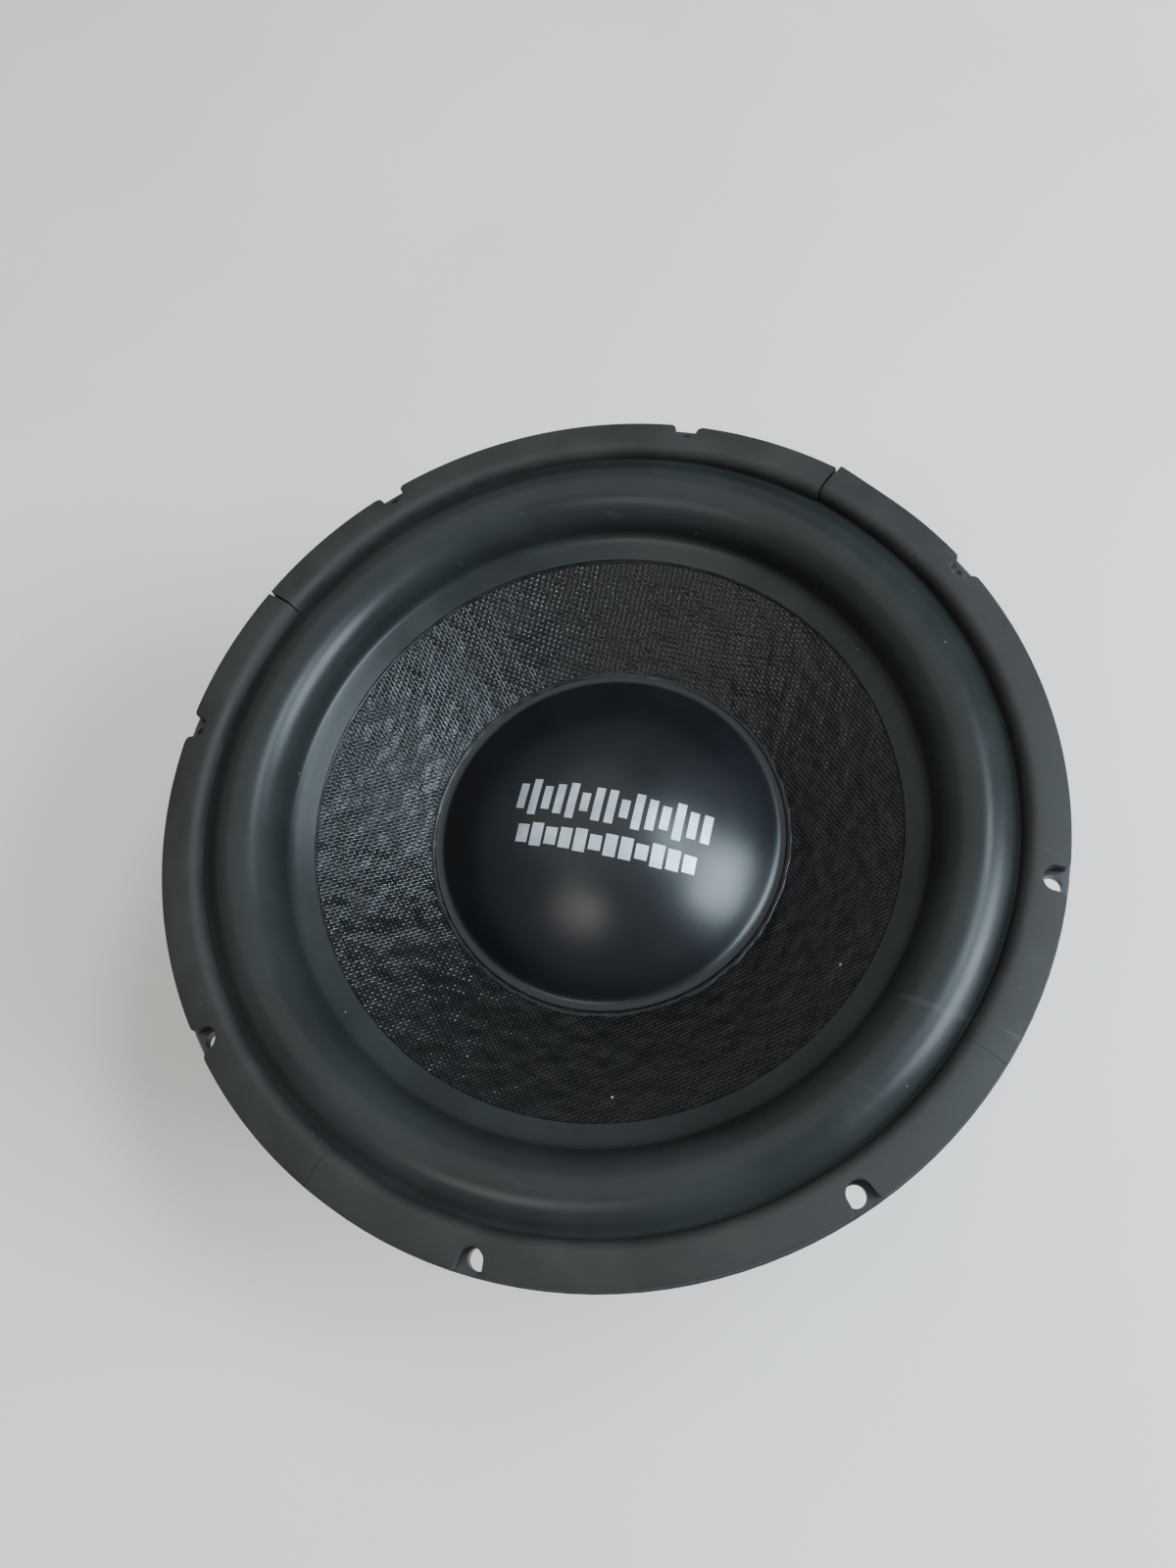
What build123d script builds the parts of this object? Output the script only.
"""Car subwoofer driver, 12 inch class, in millimetres.

Origin: centre of the frame flange's rear face, the plane that meets the baffle. +Z points forwards,
out of the cone. The two terminal blocks are on +X and -X; the bolt holes start 22.5 degrees off +X.
"""

import os
from math import asin, atan, atan2, cos, degrees, hypot, pi, radians, sin

from build123d import *

os.makedirs("parts", exist_ok=True)

# --- driving dimensions ---------------------------------------------------------------------------

GLUE = 0.05             # glue line between faces that are bonded
AIR = 0.1               # glue line between a suspension part and the frame it is bonded to

# Flange, bolt circle and front trim
FRAME_R = 159.0
FLANGE_T = 4.0
FLANGE_IN_R = 140.5
BOLT_R = 153.5
BOLT_HOLE_R = 3.5
BOLT_COUNT = 8
BOLT_START = 22.5

GASKET_R = 158.2
GASKET_IN_R = 143.5
GASKET_PEAK_R = 145.2
GASKET_PEAK_Z = 11.2
GASKET_RIM_Z = 8.8
GASKET_STEP_R = 148.4
GASKET_NOTCH_R = 5.3
GASKET_SEAM = 0.6
GASKET_COUNT = 4

# Moving diaphragm
CONE_SLOPE = 0.477      # rise per millimetre of radius
CAP_R = 64.8
CAP_Z = -31.5           # cone surface height where the cap is bonded
CAP_APEX_Z = -5.2
CAP_T = 0.9
CAP_LIP = 2.6
CONE_T = 1.3
CONE_R = 117.0
CONE_NECK_R = 33.3
CONE_NECK_LOW_Z = -51.0

SURROUND_T = 1.3
ROLL_IN_R = 117.5       # crease between the inner lip and the roll
ROLL_OUT_R = 141.5
ROLL_HEIGHT = 10.5      # height of the roll over the line between its two feet
LIP_IN_R = 108.0
LIP_OUT_R = 148.0

# Voice coil
FORMER_IN_R = 31.2
FORMER_T = 0.5
FORMER_TOP_Z = -43.0
FORMER_LOW_Z = -110.0
COLLAR_T = 0.3
COLLAR_TOP_Z = -43.6
COLLAR_LOW_Z = -71.0
WINDING_R = 33.4
WINDING_TOP_Z = -72.0
WINDING_LOW_Z = -108.0

# Spider
LEDGE_Z = -60.0
SPIDER_T = 0.7
SPIDER_R = 90.0
SPIDER_WAVE_IN_R = 38.0
SPIDER_WAVE_OUT_R = 82.0
SPIDER_WAVES = 5
SPIDER_WAVE_H = 2.0
SPIDER_NECK_TOP_Z = -55.6

# Motor
TOP_PLATE_R = 73.0
TOP_PLATE_TOP_Z = -84.0
TOP_PLATE_LOW_Z = -96.0
GAP_R = 34.2
MAGNET_R = 78.0
MAGNET_IN_R = 40.0
MAGNET_T = 22.0
BACK_PLATE_R = 74.0
BACK_PLATE_LOW_Z = -154.0
BACK_PLATE_TOP_Z = TOP_PLATE_LOW_Z - 2 * MAGNET_T
POLE_R = 30.6
POLE_TOP_Z = -82.0
VENT_R = 13.0
SCREEN_R = 17.0
SCREEN_T = 0.8
SCREEN_DEPTH = 3.0
BOOT_R = 80.8
BOOT_LIP_T = 2.4
BOOT_LIP_IN_R = 75.0
BOOT_GROOVES = 3

# Basket below the flange
SPIGOT_R = 144.0
SPIGOT_LOW_Z = -10.0
SPOKE_COUNT = 6
SPOKE_START = 30.0
SPOKE_HALF_W = 13.0
RIB_T = 4.0
BASE_RING_IN_R = 42.0
BASE_RING_T = 4.0

# Motor screws
SCREW_CIRCLE_R = 54.0
SCREW_COUNT = 8
SCREW_R = 2.5
SCREW_HEAD_R = 4.25
SCREW_HEAD_H = 5.0
SCREW_LENGTH = 14.0
SCREW_CLEAR = 0.2

# Terminal blocks, measured outwards along X from the driver's axis
PAD_IN_U = 96.0
PAD_OUT_U = 100.0
PAD_HALF_W = 23.0
PAD_TOP_Z = -40.0
BLOCK_OUT_U = 108.0
BLOCK_HALF_W = 22.0
BLOCK_HALF_H = 9.0
POST_Z = -50.0
POST_OFFSET = 10.0
BARREL_R = 4.6
BARREL_BORE_R = 3.6
BARREL_IN_U = 102.0
BARREL_FLOOR_U = 104.0
BARREL_OUT_U = 118.0
PLUNGER_R = 3.52
PLUNGER_IN_U = 110.0
BUTTON_R = 6.2
BUTTON_IN_U = 122.3
BUTTON_OUT_U = 127.3
BUTTON_TRAVEL = 4.0
WIRE_HOLE_R = 1.6
WIRE_HOLE_U = 112.5
SPRING_R = 2.7
SPRING_WIRE_R = 0.22
SPRING_TURNS = 4
TAB_IN_U = 88.0
TAB_HALF_W = 2.5
TAB_T = 0.8
TERMINAL_SCREW_OFFSET = 18.5
TERMINAL_SCREW_R = 1.5
TERMINAL_SCREW_HEAD_R = 2.8
TERMINAL_SCREW_HEAD_H = 1.8

# Tinsel leads
LEAD_R = 1.0
LEAD_END_Z = -53.3
LEAD_BEND_R = 8.0


# --- helpers --------------------------------------------------------------------------------------


def revolved(*outline):
    """A full turn about Z of a closed straight-sided outline of (radius, height) points."""
    return revolve(Plane.XZ * make_face(Polyline(*outline, close=True)), Axis.Z)


def ring(outer_r, inner_r, low_z, top_z):
    """A plain ring about Z."""
    return revolved((inner_r, low_z), (outer_r, low_z), (outer_r, top_z), (inner_r, top_z))


def rod(r, low, high):
    """A round bar along +X from low to high."""
    return Plane.YZ.offset(low) * extrude(Circle(r), high - low)


def block(x_range, y_range, z_range):
    """A box between three pairs of limits."""
    corner = Pos(x_range[0], y_range[0], z_range[0])
    size = [high - low for low, high in (x_range, y_range, z_range)]
    return corner * Box(*size, align=(Align.MIN, Align.MIN, Align.MIN))


def spun(shape, count, start=0.0):
    """Copies of a shape spaced evenly about Z."""
    return [Rot(0, 0, start + k * 360 / count) * shape for k in range(count)]


def cone_z(r):
    """Height of the cone's front surface at radius r."""
    return CAP_Z + (r - CAP_R) * CONE_SLOPE


def save(name, shape):
    """Write one node."""
    export_step(shape, f"parts/{name}.step")


# --- basket ---------------------------------------------------------------------------------------

LEDGE_T = 4.0
LEDGE_IN_R = 84.0
LEDGE_OUT_R = 98.5
WALL_IN = ((FLANGE_IN_R, SPIGOT_LOW_Z + 1), (94.5, -56.0))
WALL_OUT = ((SPIGOT_R, SPIGOT_LOW_Z), (LEDGE_OUT_R, -57.5))
LOWER_OUT = ((92.0, -66.0), (74.5, -83.0))
LOWER_IN = ((86.0, LEDGE_Z - LEDGE_T), (69.5, TOP_PLATE_TOP_Z + BASE_RING_T))


def basket_wall():
    """Flange, spigot, bowl, spider ledge and motor ring as one turned shape, before its windows."""
    base_top = TOP_PLATE_TOP_Z + BASE_RING_T
    edge = 0.8
    return revolved(
        (FLANGE_IN_R, FLANGE_T), (FRAME_R - edge, FLANGE_T), (FRAME_R, FLANGE_T - edge),
        (FRAME_R, edge), (FRAME_R - edge, 0), (SPIGOT_R, 0),
        *WALL_OUT, (LEDGE_OUT_R, LEDGE_Z - LEDGE_T), *LOWER_OUT,
        (LOWER_OUT[1][0], TOP_PLATE_TOP_Z), (BASE_RING_IN_R, TOP_PLATE_TOP_Z),
        (BASE_RING_IN_R, base_top), LOWER_IN[1], LOWER_IN[0],
        (LEDGE_IN_R, LEDGE_Z - LEDGE_T), (LEDGE_IN_R, LEDGE_Z), (WALL_IN[1][0], LEDGE_Z),
        WALL_IN[1], WALL_IN[0],
    )


def window(top, low, corner_r):
    """Cutter for one window, centred on +X; top and low are (height, wall radius) of its edges."""
    half_turn = 180 / SPOKE_COUNT
    halves = []
    for _, wall_r in (top, low):
        halves.append(wall_r * sin(radians(half_turn - degrees(asin(SPOKE_HALF_W / wall_r)))))
    outline = Polyline(
        (-halves[0], top[0]), (halves[0], top[0]), (halves[1], low[0]), (-halves[1], low[0]), close=True
    )
    face = make_face(outline)
    face = fillet(face.vertices(), corner_r)
    return extrude(Plane.YZ.offset(LEDGE_IN_R * 0.7) * face, FRAME_R)


def spoke_ribs():
    """The pair of stiffening ribs on the back of one spoke, on +X."""
    envelope = revolved(
        (SPIGOT_R - 2, -6), (SPIGOT_R - 0.6, -7), (SPIGOT_R - 3.5, -20), (103, -63.5), (79.5, -83.5),
        (72.5, -82.5), (88, -66), (95, -62), (96.5, -57), (SPIGOT_R - 2, -9.5),
    )
    ribs = []
    for side in (-1, 1):
        middle = side * (SPOKE_HALF_W - RIB_T / 2)
        plate = block((60, FRAME_R), (middle - RIB_T / 2, middle + RIB_T / 2), (-90, 0))
        ribs.append(envelope & plate)
    return ribs


def terminal_pad():
    """The upright pad for a terminal block, on +X, with slots for its tabs and its screw holes."""
    pad = block((PAD_IN_U, PAD_OUT_U), (-PAD_HALF_W, PAD_HALF_W), (LEDGE_Z - LEDGE_T, PAD_TOP_Z))
    upper = pad.edges().filter_by(Axis.X).group_by(Axis.Z)[-1]
    pad = fillet(upper, 3.0)
    foot = block((LEDGE_IN_R + 8, PAD_OUT_U), (-PAD_HALF_W, PAD_HALF_W), (LEDGE_Z - LEDGE_T, LEDGE_Z))
    pad = pad + foot
    for side in (-1, 1):
        slot = block(
            (PAD_IN_U - 1, PAD_OUT_U + 1),
            (side * POST_OFFSET - TAB_HALF_W - 1, side * POST_OFFSET + TAB_HALF_W + 1),
            (POST_Z - 2.5, POST_Z + 2.5),
        )
        hole = Pos(0, side * TERMINAL_SCREW_OFFSET, POST_Z) * rod(
            TERMINAL_SCREW_R + GLUE, PAD_IN_U - 1, PAD_OUT_U + 1
        )
        pad = pad - slot - hole
    return pad


def basket():
    """The cast frame."""
    frame = basket_wall()
    frame -= spun(window((-14, 138), (-54, 99), 9.0), SPOKE_COUNT)
    frame -= spun(window((-68.5, 89), (-78.5, 79), 4.0), SPOKE_COUNT)
    ribs = spoke_ribs()
    for side_rib in ribs:
        frame += spun(side_rib, SPOKE_COUNT, SPOKE_START)
    seat = block((PAD_OUT_U, FRAME_R), (-PAD_HALF_W, PAD_HALF_W), (LEDGE_Z - LEDGE_T, PAD_TOP_Z))
    frame -= spun(seat, 2)
    frame += spun(terminal_pad(), 2)
    bolt_hole = Pos(BOLT_R, 0, FLANGE_T / 2) * Cylinder(BOLT_HOLE_R, FLANGE_T + 2)
    frame -= spun(bolt_hole, BOLT_COUNT, BOLT_START)
    screw_hole = Pos(SCREW_CIRCLE_R, 0, TOP_PLATE_TOP_Z + BASE_RING_T / 2) * Cylinder(
        SCREW_R + SCREW_CLEAR, BASE_RING_T + 2
    )
    frame -= spun(screw_hole, SCREW_COUNT)
    return frame


# --- front trim gasket ----------------------------------------------------------------------------


def gasket_segment():
    """One quarter of the trim gasket, centred on +X, with two notches that clear the bolts."""
    lip_top = FLANGE_T + AIR + SURROUND_T + AIR
    edge = 0.8
    section = Polyline(
        (GASKET_IN_R, lip_top), (GASKET_STEP_R, lip_top), (GASKET_STEP_R, FLANGE_T),
        (GASKET_R, FLANGE_T), (GASKET_R, GASKET_RIM_Z - edge), (GASKET_R - edge, GASKET_RIM_Z),
        (GASKET_PEAK_R, GASKET_PEAK_Z), (GASKET_IN_R + edge / 2, GASKET_PEAK_Z - edge / 4),
        (GASKET_IN_R, GASKET_PEAK_Z - edge), close=True,
    )
    turn = 360 / GASKET_COUNT - degrees(GASKET_SEAM / GASKET_R)
    segment = Rot(0, 0, -turn / 2) * revolve(Plane.XZ * make_face(section), Axis.Z, turn)
    notch = Pos(BOLT_R, 0, 0) * Cylinder(GASKET_NOTCH_R, 40)
    notch += block((BOLT_R, FRAME_R + 5), (-GASKET_NOTCH_R, GASKET_NOTCH_R), (-20, 20))
    for side in (-1, 1):
        segment -= Rot(0, 0, side * BOLT_START) * notch
    return segment


# --- diaphragm and suspension ---------------------------------------------------------------------

CONE_ANGLE = atan(CONE_SLOPE)


def on_cone(r, height):
    """The (radius, height) point that stands off the cone's front surface at radius r."""
    return (r - height * sin(CONE_ANGLE), cone_z(r) + height * cos(CONE_ANGLE))


def arc(centre, r, angles):
    """An arc about a centre through three angles in radians."""
    return ThreePointArc(*[(centre[0] + r * cos(a), centre[1] + r * sin(a)) for a in angles])


def arc_band(centre, r, thickness, start, end):
    """The (radius, height) face of a curved strip, thickness split about radius r."""
    angles = (start, (start + end) / 2, end)
    outer = arc(centre, r + thickness / 2, angles)
    inner = arc(centre, r - thickness / 2, angles)
    return make_face(outer + inner + Line(outer @ 0, inner @ 0) + Line(outer @ 1, inner @ 1))


def surround():
    """Half roll with a flat lip on the cone and a flat lip on the flange."""
    low = GLUE
    top = GLUE + SURROUND_T
    weld = 0.6
    crease_r = ROLL_IN_R + weld
    inner_lip = revolved(
        on_cone(LIP_IN_R, low), on_cone(crease_r, low), on_cone(crease_r, top), on_cone(LIP_IN_R, top)
    )
    seat = FLANGE_T + AIR
    outer_lip = ring(LIP_OUT_R, ROLL_OUT_R - weld, seat, seat + SURROUND_T)
    foot_in = on_cone(ROLL_IN_R, (low + top) / 2)
    foot_out = (ROLL_OUT_R, seat + SURROUND_T / 2)
    across, up = foot_out[0] - foot_in[0], foot_out[1] - foot_in[1]
    chord = hypot(across, up)
    r = (chord**2 / 4 + ROLL_HEIGHT**2) / (2 * ROLL_HEIGHT)
    drop = (r - ROLL_HEIGHT) / chord
    centre = ((foot_in[0] + foot_out[0]) / 2 + up * drop, (foot_in[1] + foot_out[1]) / 2 - across * drop)
    start = atan2(foot_in[1] - centre[1], foot_in[0] - centre[0]) % (2 * pi)
    end = atan2(foot_out[1] - centre[1], foot_out[0] - centre[0])
    roll = revolve(Plane.XZ * arc_band(centre, r, SURROUND_T, start, end), Axis.Z)
    return roll + inner_lip + outer_lip


def cone():
    """Straight-sided cone with a short neck bonded round the former."""
    back = CONE_T / cos(CONE_ANGLE)
    neck_in = FORMER_IN_R + FORMER_T + COLLAR_T + GLUE
    return revolved(
        (neck_in, cone_z(neck_in)), on_cone(CONE_R, 0), on_cone(CONE_R, -CONE_T),
        (CONE_NECK_R, cone_z(CONE_NECK_R) - back), (CONE_NECK_R, CONE_NECK_LOW_Z),
        (neck_in, CONE_NECK_LOW_Z),
    )


def dust_cap():
    """Spherical cap with a narrow turned lip bonded to the cone."""
    height = CAP_APEX_Z - CAP_Z
    r = (CAP_R**2 + height**2) / (2 * height)
    overlap = 0.4
    rim = radians(90) - asin((CAP_R - overlap) / r)
    dome = arc_band((0, CAP_APEX_Z - r), r - CAP_T / 2, CAP_T, radians(90), rim)
    inner_r = CAP_R - 1.6
    outer_r = CAP_R + CAP_LIP
    low, top = GLUE, GLUE + CAP_T
    lip = revolved(on_cone(inner_r, low), on_cone(outer_r, low), on_cone(outer_r, top), on_cone(inner_r, top))
    return revolve(Plane.XZ * dome, Axis.Z) + lip


def spider():
    """Corrugated disc with a neck on the former and a flat rim on the basket's ledge."""
    seat = LEDGE_Z + AIR
    middle = seat + SPIDER_T / 2
    span = (SPIDER_WAVE_OUT_R - SPIDER_WAVE_IN_R) / (2 * SPIDER_WAVES)
    r = (span**2 / 4 + SPIDER_WAVE_H**2) / (2 * SPIDER_WAVE_H)
    half = asin(span / 2 / r)
    edges = []
    for k in range(2 * SPIDER_WAVES):
        side = 1 if k % 2 == 0 else -1
        centre = (SPIDER_WAVE_IN_R + (k + 0.5) * span, middle - side * (r - SPIDER_WAVE_H))
        angles = [side * (radians(90) + turn) for turn in (half, 0, -half)]
        for offset in (-SPIDER_T / 2, SPIDER_T / 2):
            edges.append(arc(centre, r + offset, angles))
    first, last = edges[:2], edges[-2:]
    closing = [Line(first[0] @ 0, first[1] @ 0), Line(last[0] @ 1, last[1] @ 1)]
    waves = revolve(Plane.XZ * make_face(Curve() + edges + closing), Axis.Z)
    neck_in = FORMER_IN_R + FORMER_T + COLLAR_T + GLUE
    weld = 0.5
    neck = ring(neck_in + SPIDER_T, neck_in, seat, SPIDER_NECK_TOP_Z)
    inner = ring(SPIDER_WAVE_IN_R + weld, neck_in, seat, seat + SPIDER_T)
    rim = ring(SPIDER_R, SPIDER_WAVE_OUT_R - weld, seat, seat + SPIDER_T)
    return waves + inner + neck + rim


# --- voice coil -----------------------------------------------------------------------------------

FORMER_R = FORMER_IN_R + FORMER_T


def former():
    """Plain tube that carries the winding."""
    return ring(FORMER_R, FORMER_IN_R, FORMER_LOW_Z, FORMER_TOP_Z)


def former_collar():
    """Stiffening wrap where the cone, the spider and the leads are bonded."""
    return ring(FORMER_R + COLLAR_T, FORMER_R, COLLAR_LOW_Z, COLLAR_TOP_Z)


def winding():
    """The wound wire as one ring."""
    return ring(WINDING_R, FORMER_R, WINDING_LOW_Z, WINDING_TOP_Z)


# --- motor ----------------------------------------------------------------------------------------


def top_plate():
    """Front pole plate with its gap bore and blind holes for the motor screws."""
    edge = 0.8
    plate = revolved(
        (GAP_R, TOP_PLATE_LOW_Z), (TOP_PLATE_R, TOP_PLATE_LOW_Z), (TOP_PLATE_R, TOP_PLATE_TOP_Z - edge),
        (TOP_PLATE_R - edge, TOP_PLATE_TOP_Z), (GAP_R + edge, TOP_PLATE_TOP_Z),
        (GAP_R, TOP_PLATE_TOP_Z - edge),
    )
    floor = TOP_PLATE_TOP_Z + BASE_RING_T - SCREW_LENGTH - 0.5
    hole = Pos(SCREW_CIRCLE_R, 0, floor) * Cylinder(
        SCREW_R + GLUE, TOP_PLATE_TOP_Z + 1 - floor, align=(Align.CENTER, Align.CENTER, Align.MIN)
    )
    return plate - spun(hole, SCREW_COUNT)


def magnet(top_z):
    """One ferrite ring with ground flats and chamfered corners."""
    edge = 1.2
    low_z = top_z - MAGNET_T
    return revolved(
        (MAGNET_IN_R + edge, low_z), (MAGNET_R - edge, low_z), (MAGNET_R, low_z + edge),
        (MAGNET_R, top_z - edge), (MAGNET_R - edge, top_z), (MAGNET_IN_R + edge, top_z),
        (MAGNET_IN_R, top_z - edge), (MAGNET_IN_R, low_z + edge),
    )


def back_plate_pole():
    """Back plate and vented pole in one piece, with a recess for the vent screen."""
    floor = BACK_PLATE_LOW_Z + SCREEN_DEPTH
    recess_r = SCREEN_R + 0.3
    return revolved(
        (VENT_R, floor), (recess_r, floor), (recess_r, BACK_PLATE_LOW_Z + 0.8),
        (recess_r + 0.8, BACK_PLATE_LOW_Z), (BACK_PLATE_R - 3, BACK_PLATE_LOW_Z),
        (BACK_PLATE_R, BACK_PLATE_LOW_Z + 3), (BACK_PLATE_R, BACK_PLATE_TOP_Z),
        (POLE_R, BACK_PLATE_TOP_Z), (POLE_R, POLE_TOP_Z - 1), (POLE_R - 1, POLE_TOP_Z),
        (VENT_R + 3, POLE_TOP_Z), (VENT_R, POLE_TOP_Z - 3),
    )


def vent_screen():
    """Disc of mesh over the pole vent."""
    floor = BACK_PLATE_LOW_Z + SCREEN_DEPTH
    return revolved((0, floor - SCREEN_T), (SCREEN_R, floor - SCREEN_T), (SCREEN_R, floor), (0, floor))


def magnet_boot():
    """Rubber sleeve over both magnets, with a lip at each end and grooves round its wall."""
    high = TOP_PLATE_LOW_Z
    low = BACK_PLATE_TOP_Z
    wall_in = MAGNET_R + 0.2
    edge = 1.2
    groove_half = 1.5
    groove_deep = 1.0
    outline = [(BOOT_LIP_IN_R, high), (BOOT_LIP_IN_R, high + BOOT_LIP_T), (BOOT_R - edge, high + BOOT_LIP_T)]
    outline.append((BOOT_R, high + BOOT_LIP_T - edge))
    for k in range(BOOT_GROOVES):
        z = high - (k + 1) * (high - low) / (BOOT_GROOVES + 1)
        outline += [(BOOT_R, z + groove_half), (BOOT_R - groove_deep, z + groove_half - groove_deep)]
        outline += [(BOOT_R - groove_deep, z - groove_half + groove_deep), (BOOT_R, z - groove_half)]
    outline += [(BOOT_R, low - BOOT_LIP_T + edge), (BOOT_R - edge, low - BOOT_LIP_T)]
    outline += [(BOOT_LIP_IN_R, low - BOOT_LIP_T), (BOOT_LIP_IN_R, low), (wall_in, low), (wall_in, high)]
    return revolved(*outline)


def socket_screw(r, length, head_r, head_h):
    """Hexagon socket screw pointing down, with the underside of its head at the origin."""
    shank = Cylinder(r, length, align=(Align.CENTER, Align.CENTER, Align.MAX))
    head = Cylinder(head_r, head_h, align=(Align.CENTER, Align.CENTER, Align.MIN))
    head = chamfer(head.edges().group_by(Axis.Z)[-1], head_h * 0.12)
    socket = Pos(0, 0, head_h * 0.5) * extrude(RegularPolygon(head_r * 0.52, 6), head_h)
    return shank + head - socket


def motor_screws():
    """The screws that hold the basket on the top plate."""
    screw = socket_screw(SCREW_R, SCREW_LENGTH, SCREW_HEAD_R, SCREW_HEAD_H)
    seat = TOP_PLATE_TOP_Z + BASE_RING_T
    return Compound(spun(Pos(SCREW_CIRCLE_R, 0, seat) * screw, SCREW_COUNT))


# --- terminal blocks, each built on +X ------------------------------------------------------------


def terminal_base():
    """Moulded block with two collared holes for the barrels and two for its screws."""
    body = block(
        (PAD_OUT_U, BLOCK_OUT_U), (-BLOCK_HALF_W, BLOCK_HALF_W),
        (POST_Z - BLOCK_HALF_H, POST_Z + BLOCK_HALF_H),
    )
    body = fillet(body.edges().filter_by(Axis.X), 3.0)
    body = chamfer(body.faces().sort_by(Axis.X)[-1].edges(), 0.8)
    for side in (-1, 1):
        post = Pos(0, side * POST_OFFSET, POST_Z)
        body += post * rod(BARREL_R + 1, BLOCK_OUT_U - 1, BLOCK_OUT_U + 1.5)
        body -= post * rod(BARREL_R + GLUE, BARREL_IN_U, BLOCK_OUT_U + 2)
        body -= post * block(
            (PAD_OUT_U - 1, BARREL_IN_U),
            (-TAB_HALF_W - GLUE, TAB_HALF_W + GLUE),
            (-TAB_T / 2 - GLUE, TAB_T / 2 + GLUE),
        )
        screw = Pos(0, side * TERMINAL_SCREW_OFFSET, POST_Z)
        body -= screw * rod(TERMINAL_SCREW_R + GLUE, PAD_OUT_U - 1, BLOCK_OUT_U + 1)
    return body


def terminal_barrel():
    """Metal barrel, closed at its inner end, with a cross hole for the wire."""
    barrel = rod(BARREL_R, BARREL_IN_U, BARREL_OUT_U)
    barrel = chamfer(barrel.faces().sort_by(Axis.X)[-1].edges(), 0.3)
    barrel -= rod(BARREL_BORE_R, BARREL_FLOOR_U, BARREL_OUT_U + 1)
    return Pos(0, 0, POST_Z) * (barrel - Pos(WIRE_HOLE_U, 0, 0) * Cylinder(WIRE_HOLE_R, 4 * BARREL_R))


def terminal_button():
    """Push button with its plunger; the plunger's cross hole meets the barrel's when it is pressed."""
    head = rod(BUTTON_R, BUTTON_IN_U, BUTTON_OUT_U)
    head = fillet(head.faces().sort_by(Axis.X)[-1].edges(), 1.2)
    head = chamfer(head.faces().sort_by(Axis.X)[0].edges(), 0.4)
    plunger = rod(PLUNGER_R, PLUNGER_IN_U, BUTTON_IN_U + 1)
    cross_hole = Pos(WIRE_HOLE_U + BUTTON_TRAVEL, 0, 0) * Cylinder(WIRE_HOLE_R, 4 * BARREL_R)
    return Pos(0, 0, POST_Z) * (head + plunger - cross_hole)


def terminal_spring():
    """Compression spring between the barrel's floor and the plunger."""
    seat = 2 * SPRING_WIRE_R
    length = PLUNGER_IN_U - BARREL_FLOOR_U - 2 * seat
    path = Helix(length / SPRING_TURNS, length, SPRING_R)
    wire = sweep(Plane(path @ 0, z_dir=path % 0) * Circle(SPRING_WIRE_R), path)
    return Pos(BARREL_FLOOR_U + seat, 0, POST_Z) * Rot(0, 90, 0) * wire


def terminal_tab():
    """Flat tab from under one barrel to the soldered lead."""
    half = TAB_T / 2
    return block((TAB_IN_U, BARREL_IN_U), (-TAB_HALF_W, TAB_HALF_W), (POST_Z - half, POST_Z + half))


def terminal_screw():
    """One screw through the block and the basket's pad."""
    length = BLOCK_OUT_U - PAD_IN_U + 1
    screw = socket_screw(TERMINAL_SCREW_R, length, TERMINAL_SCREW_HEAD_R, TERMINAL_SCREW_HEAD_H)
    return Pos(BLOCK_OUT_U, 0, POST_Z) * Rot(0, 90, 0) * screw


def tinsel_lead():
    """Braided lead from a tab to the former, rising between the cone and the spider."""
    gap = 0.4
    end_r = FORMER_R + COLLAR_T + gap + LEAD_R
    end_x = (end_r**2 - POST_OFFSET**2) ** 0.5
    path = FilletPolyline(
        (TAB_IN_U - gap, POST_Z), (75, -46.5), (57, -45.5), (43, -48.5), (end_x, LEAD_END_Z),
        radius=LEAD_BEND_R,
    )
    path = Plane.XZ * path
    return sweep(Plane(path @ 0, z_dir=path % 0) * Circle(LEAD_R), path)


# --- write the nodes ------------------------------------------------------------------------------

save("basket", basket())
quarter = gasket_segment()
for index in range(GASKET_COUNT):
    save(f"gasket_segment_{index + 1}", Rot(0, 0, index * 360 / GASKET_COUNT) * quarter)
save("surround", surround())
save("cone", cone())
save("dust_cap", dust_cap())
save("spider", spider())
save("voice_coil_former", former())
save("former_collar", former_collar())
save("voice_coil_winding", winding())
save("top_plate", top_plate())
save("magnet_upper", magnet(TOP_PLATE_LOW_Z))
save("magnet_lower", magnet(TOP_PLATE_LOW_Z - MAGNET_T))
save("back_plate_pole", back_plate_pole())
save("vent_screen", vent_screen())
save("magnet_boot", magnet_boot())
save("motor_screws", motor_screws())

lead = tinsel_lead()
button = terminal_button()
spring = terminal_spring()
tabs = []
screws = []
for index in range(2):
    turn = Rot(0, 0, index * 180)
    save(f"terminal_base_{index + 1}", turn * terminal_base())
    posts = [turn * Pos(0, side * POST_OFFSET, 0) for side in (-1, 1)]
    save(f"terminal_barrels_{index + 1}", Compound([post * terminal_barrel() for post in posts]))
    tabs += [post * terminal_tab() for post in posts]
    screws += [turn * Pos(0, side * TERMINAL_SCREW_OFFSET, 0) * terminal_screw() for side in (-1, 1)]
    for pole, post in enumerate(posts):
        number = index * 2 + pole + 1
        save(f"terminal_button_{number}", post * button)
        save(f"terminal_spring_{number}", post * spring)
        save(f"tinsel_lead_{number}", post * lead)
save("terminal_tabs", Compound(tabs))
save("terminal_screws", Compound(screws))
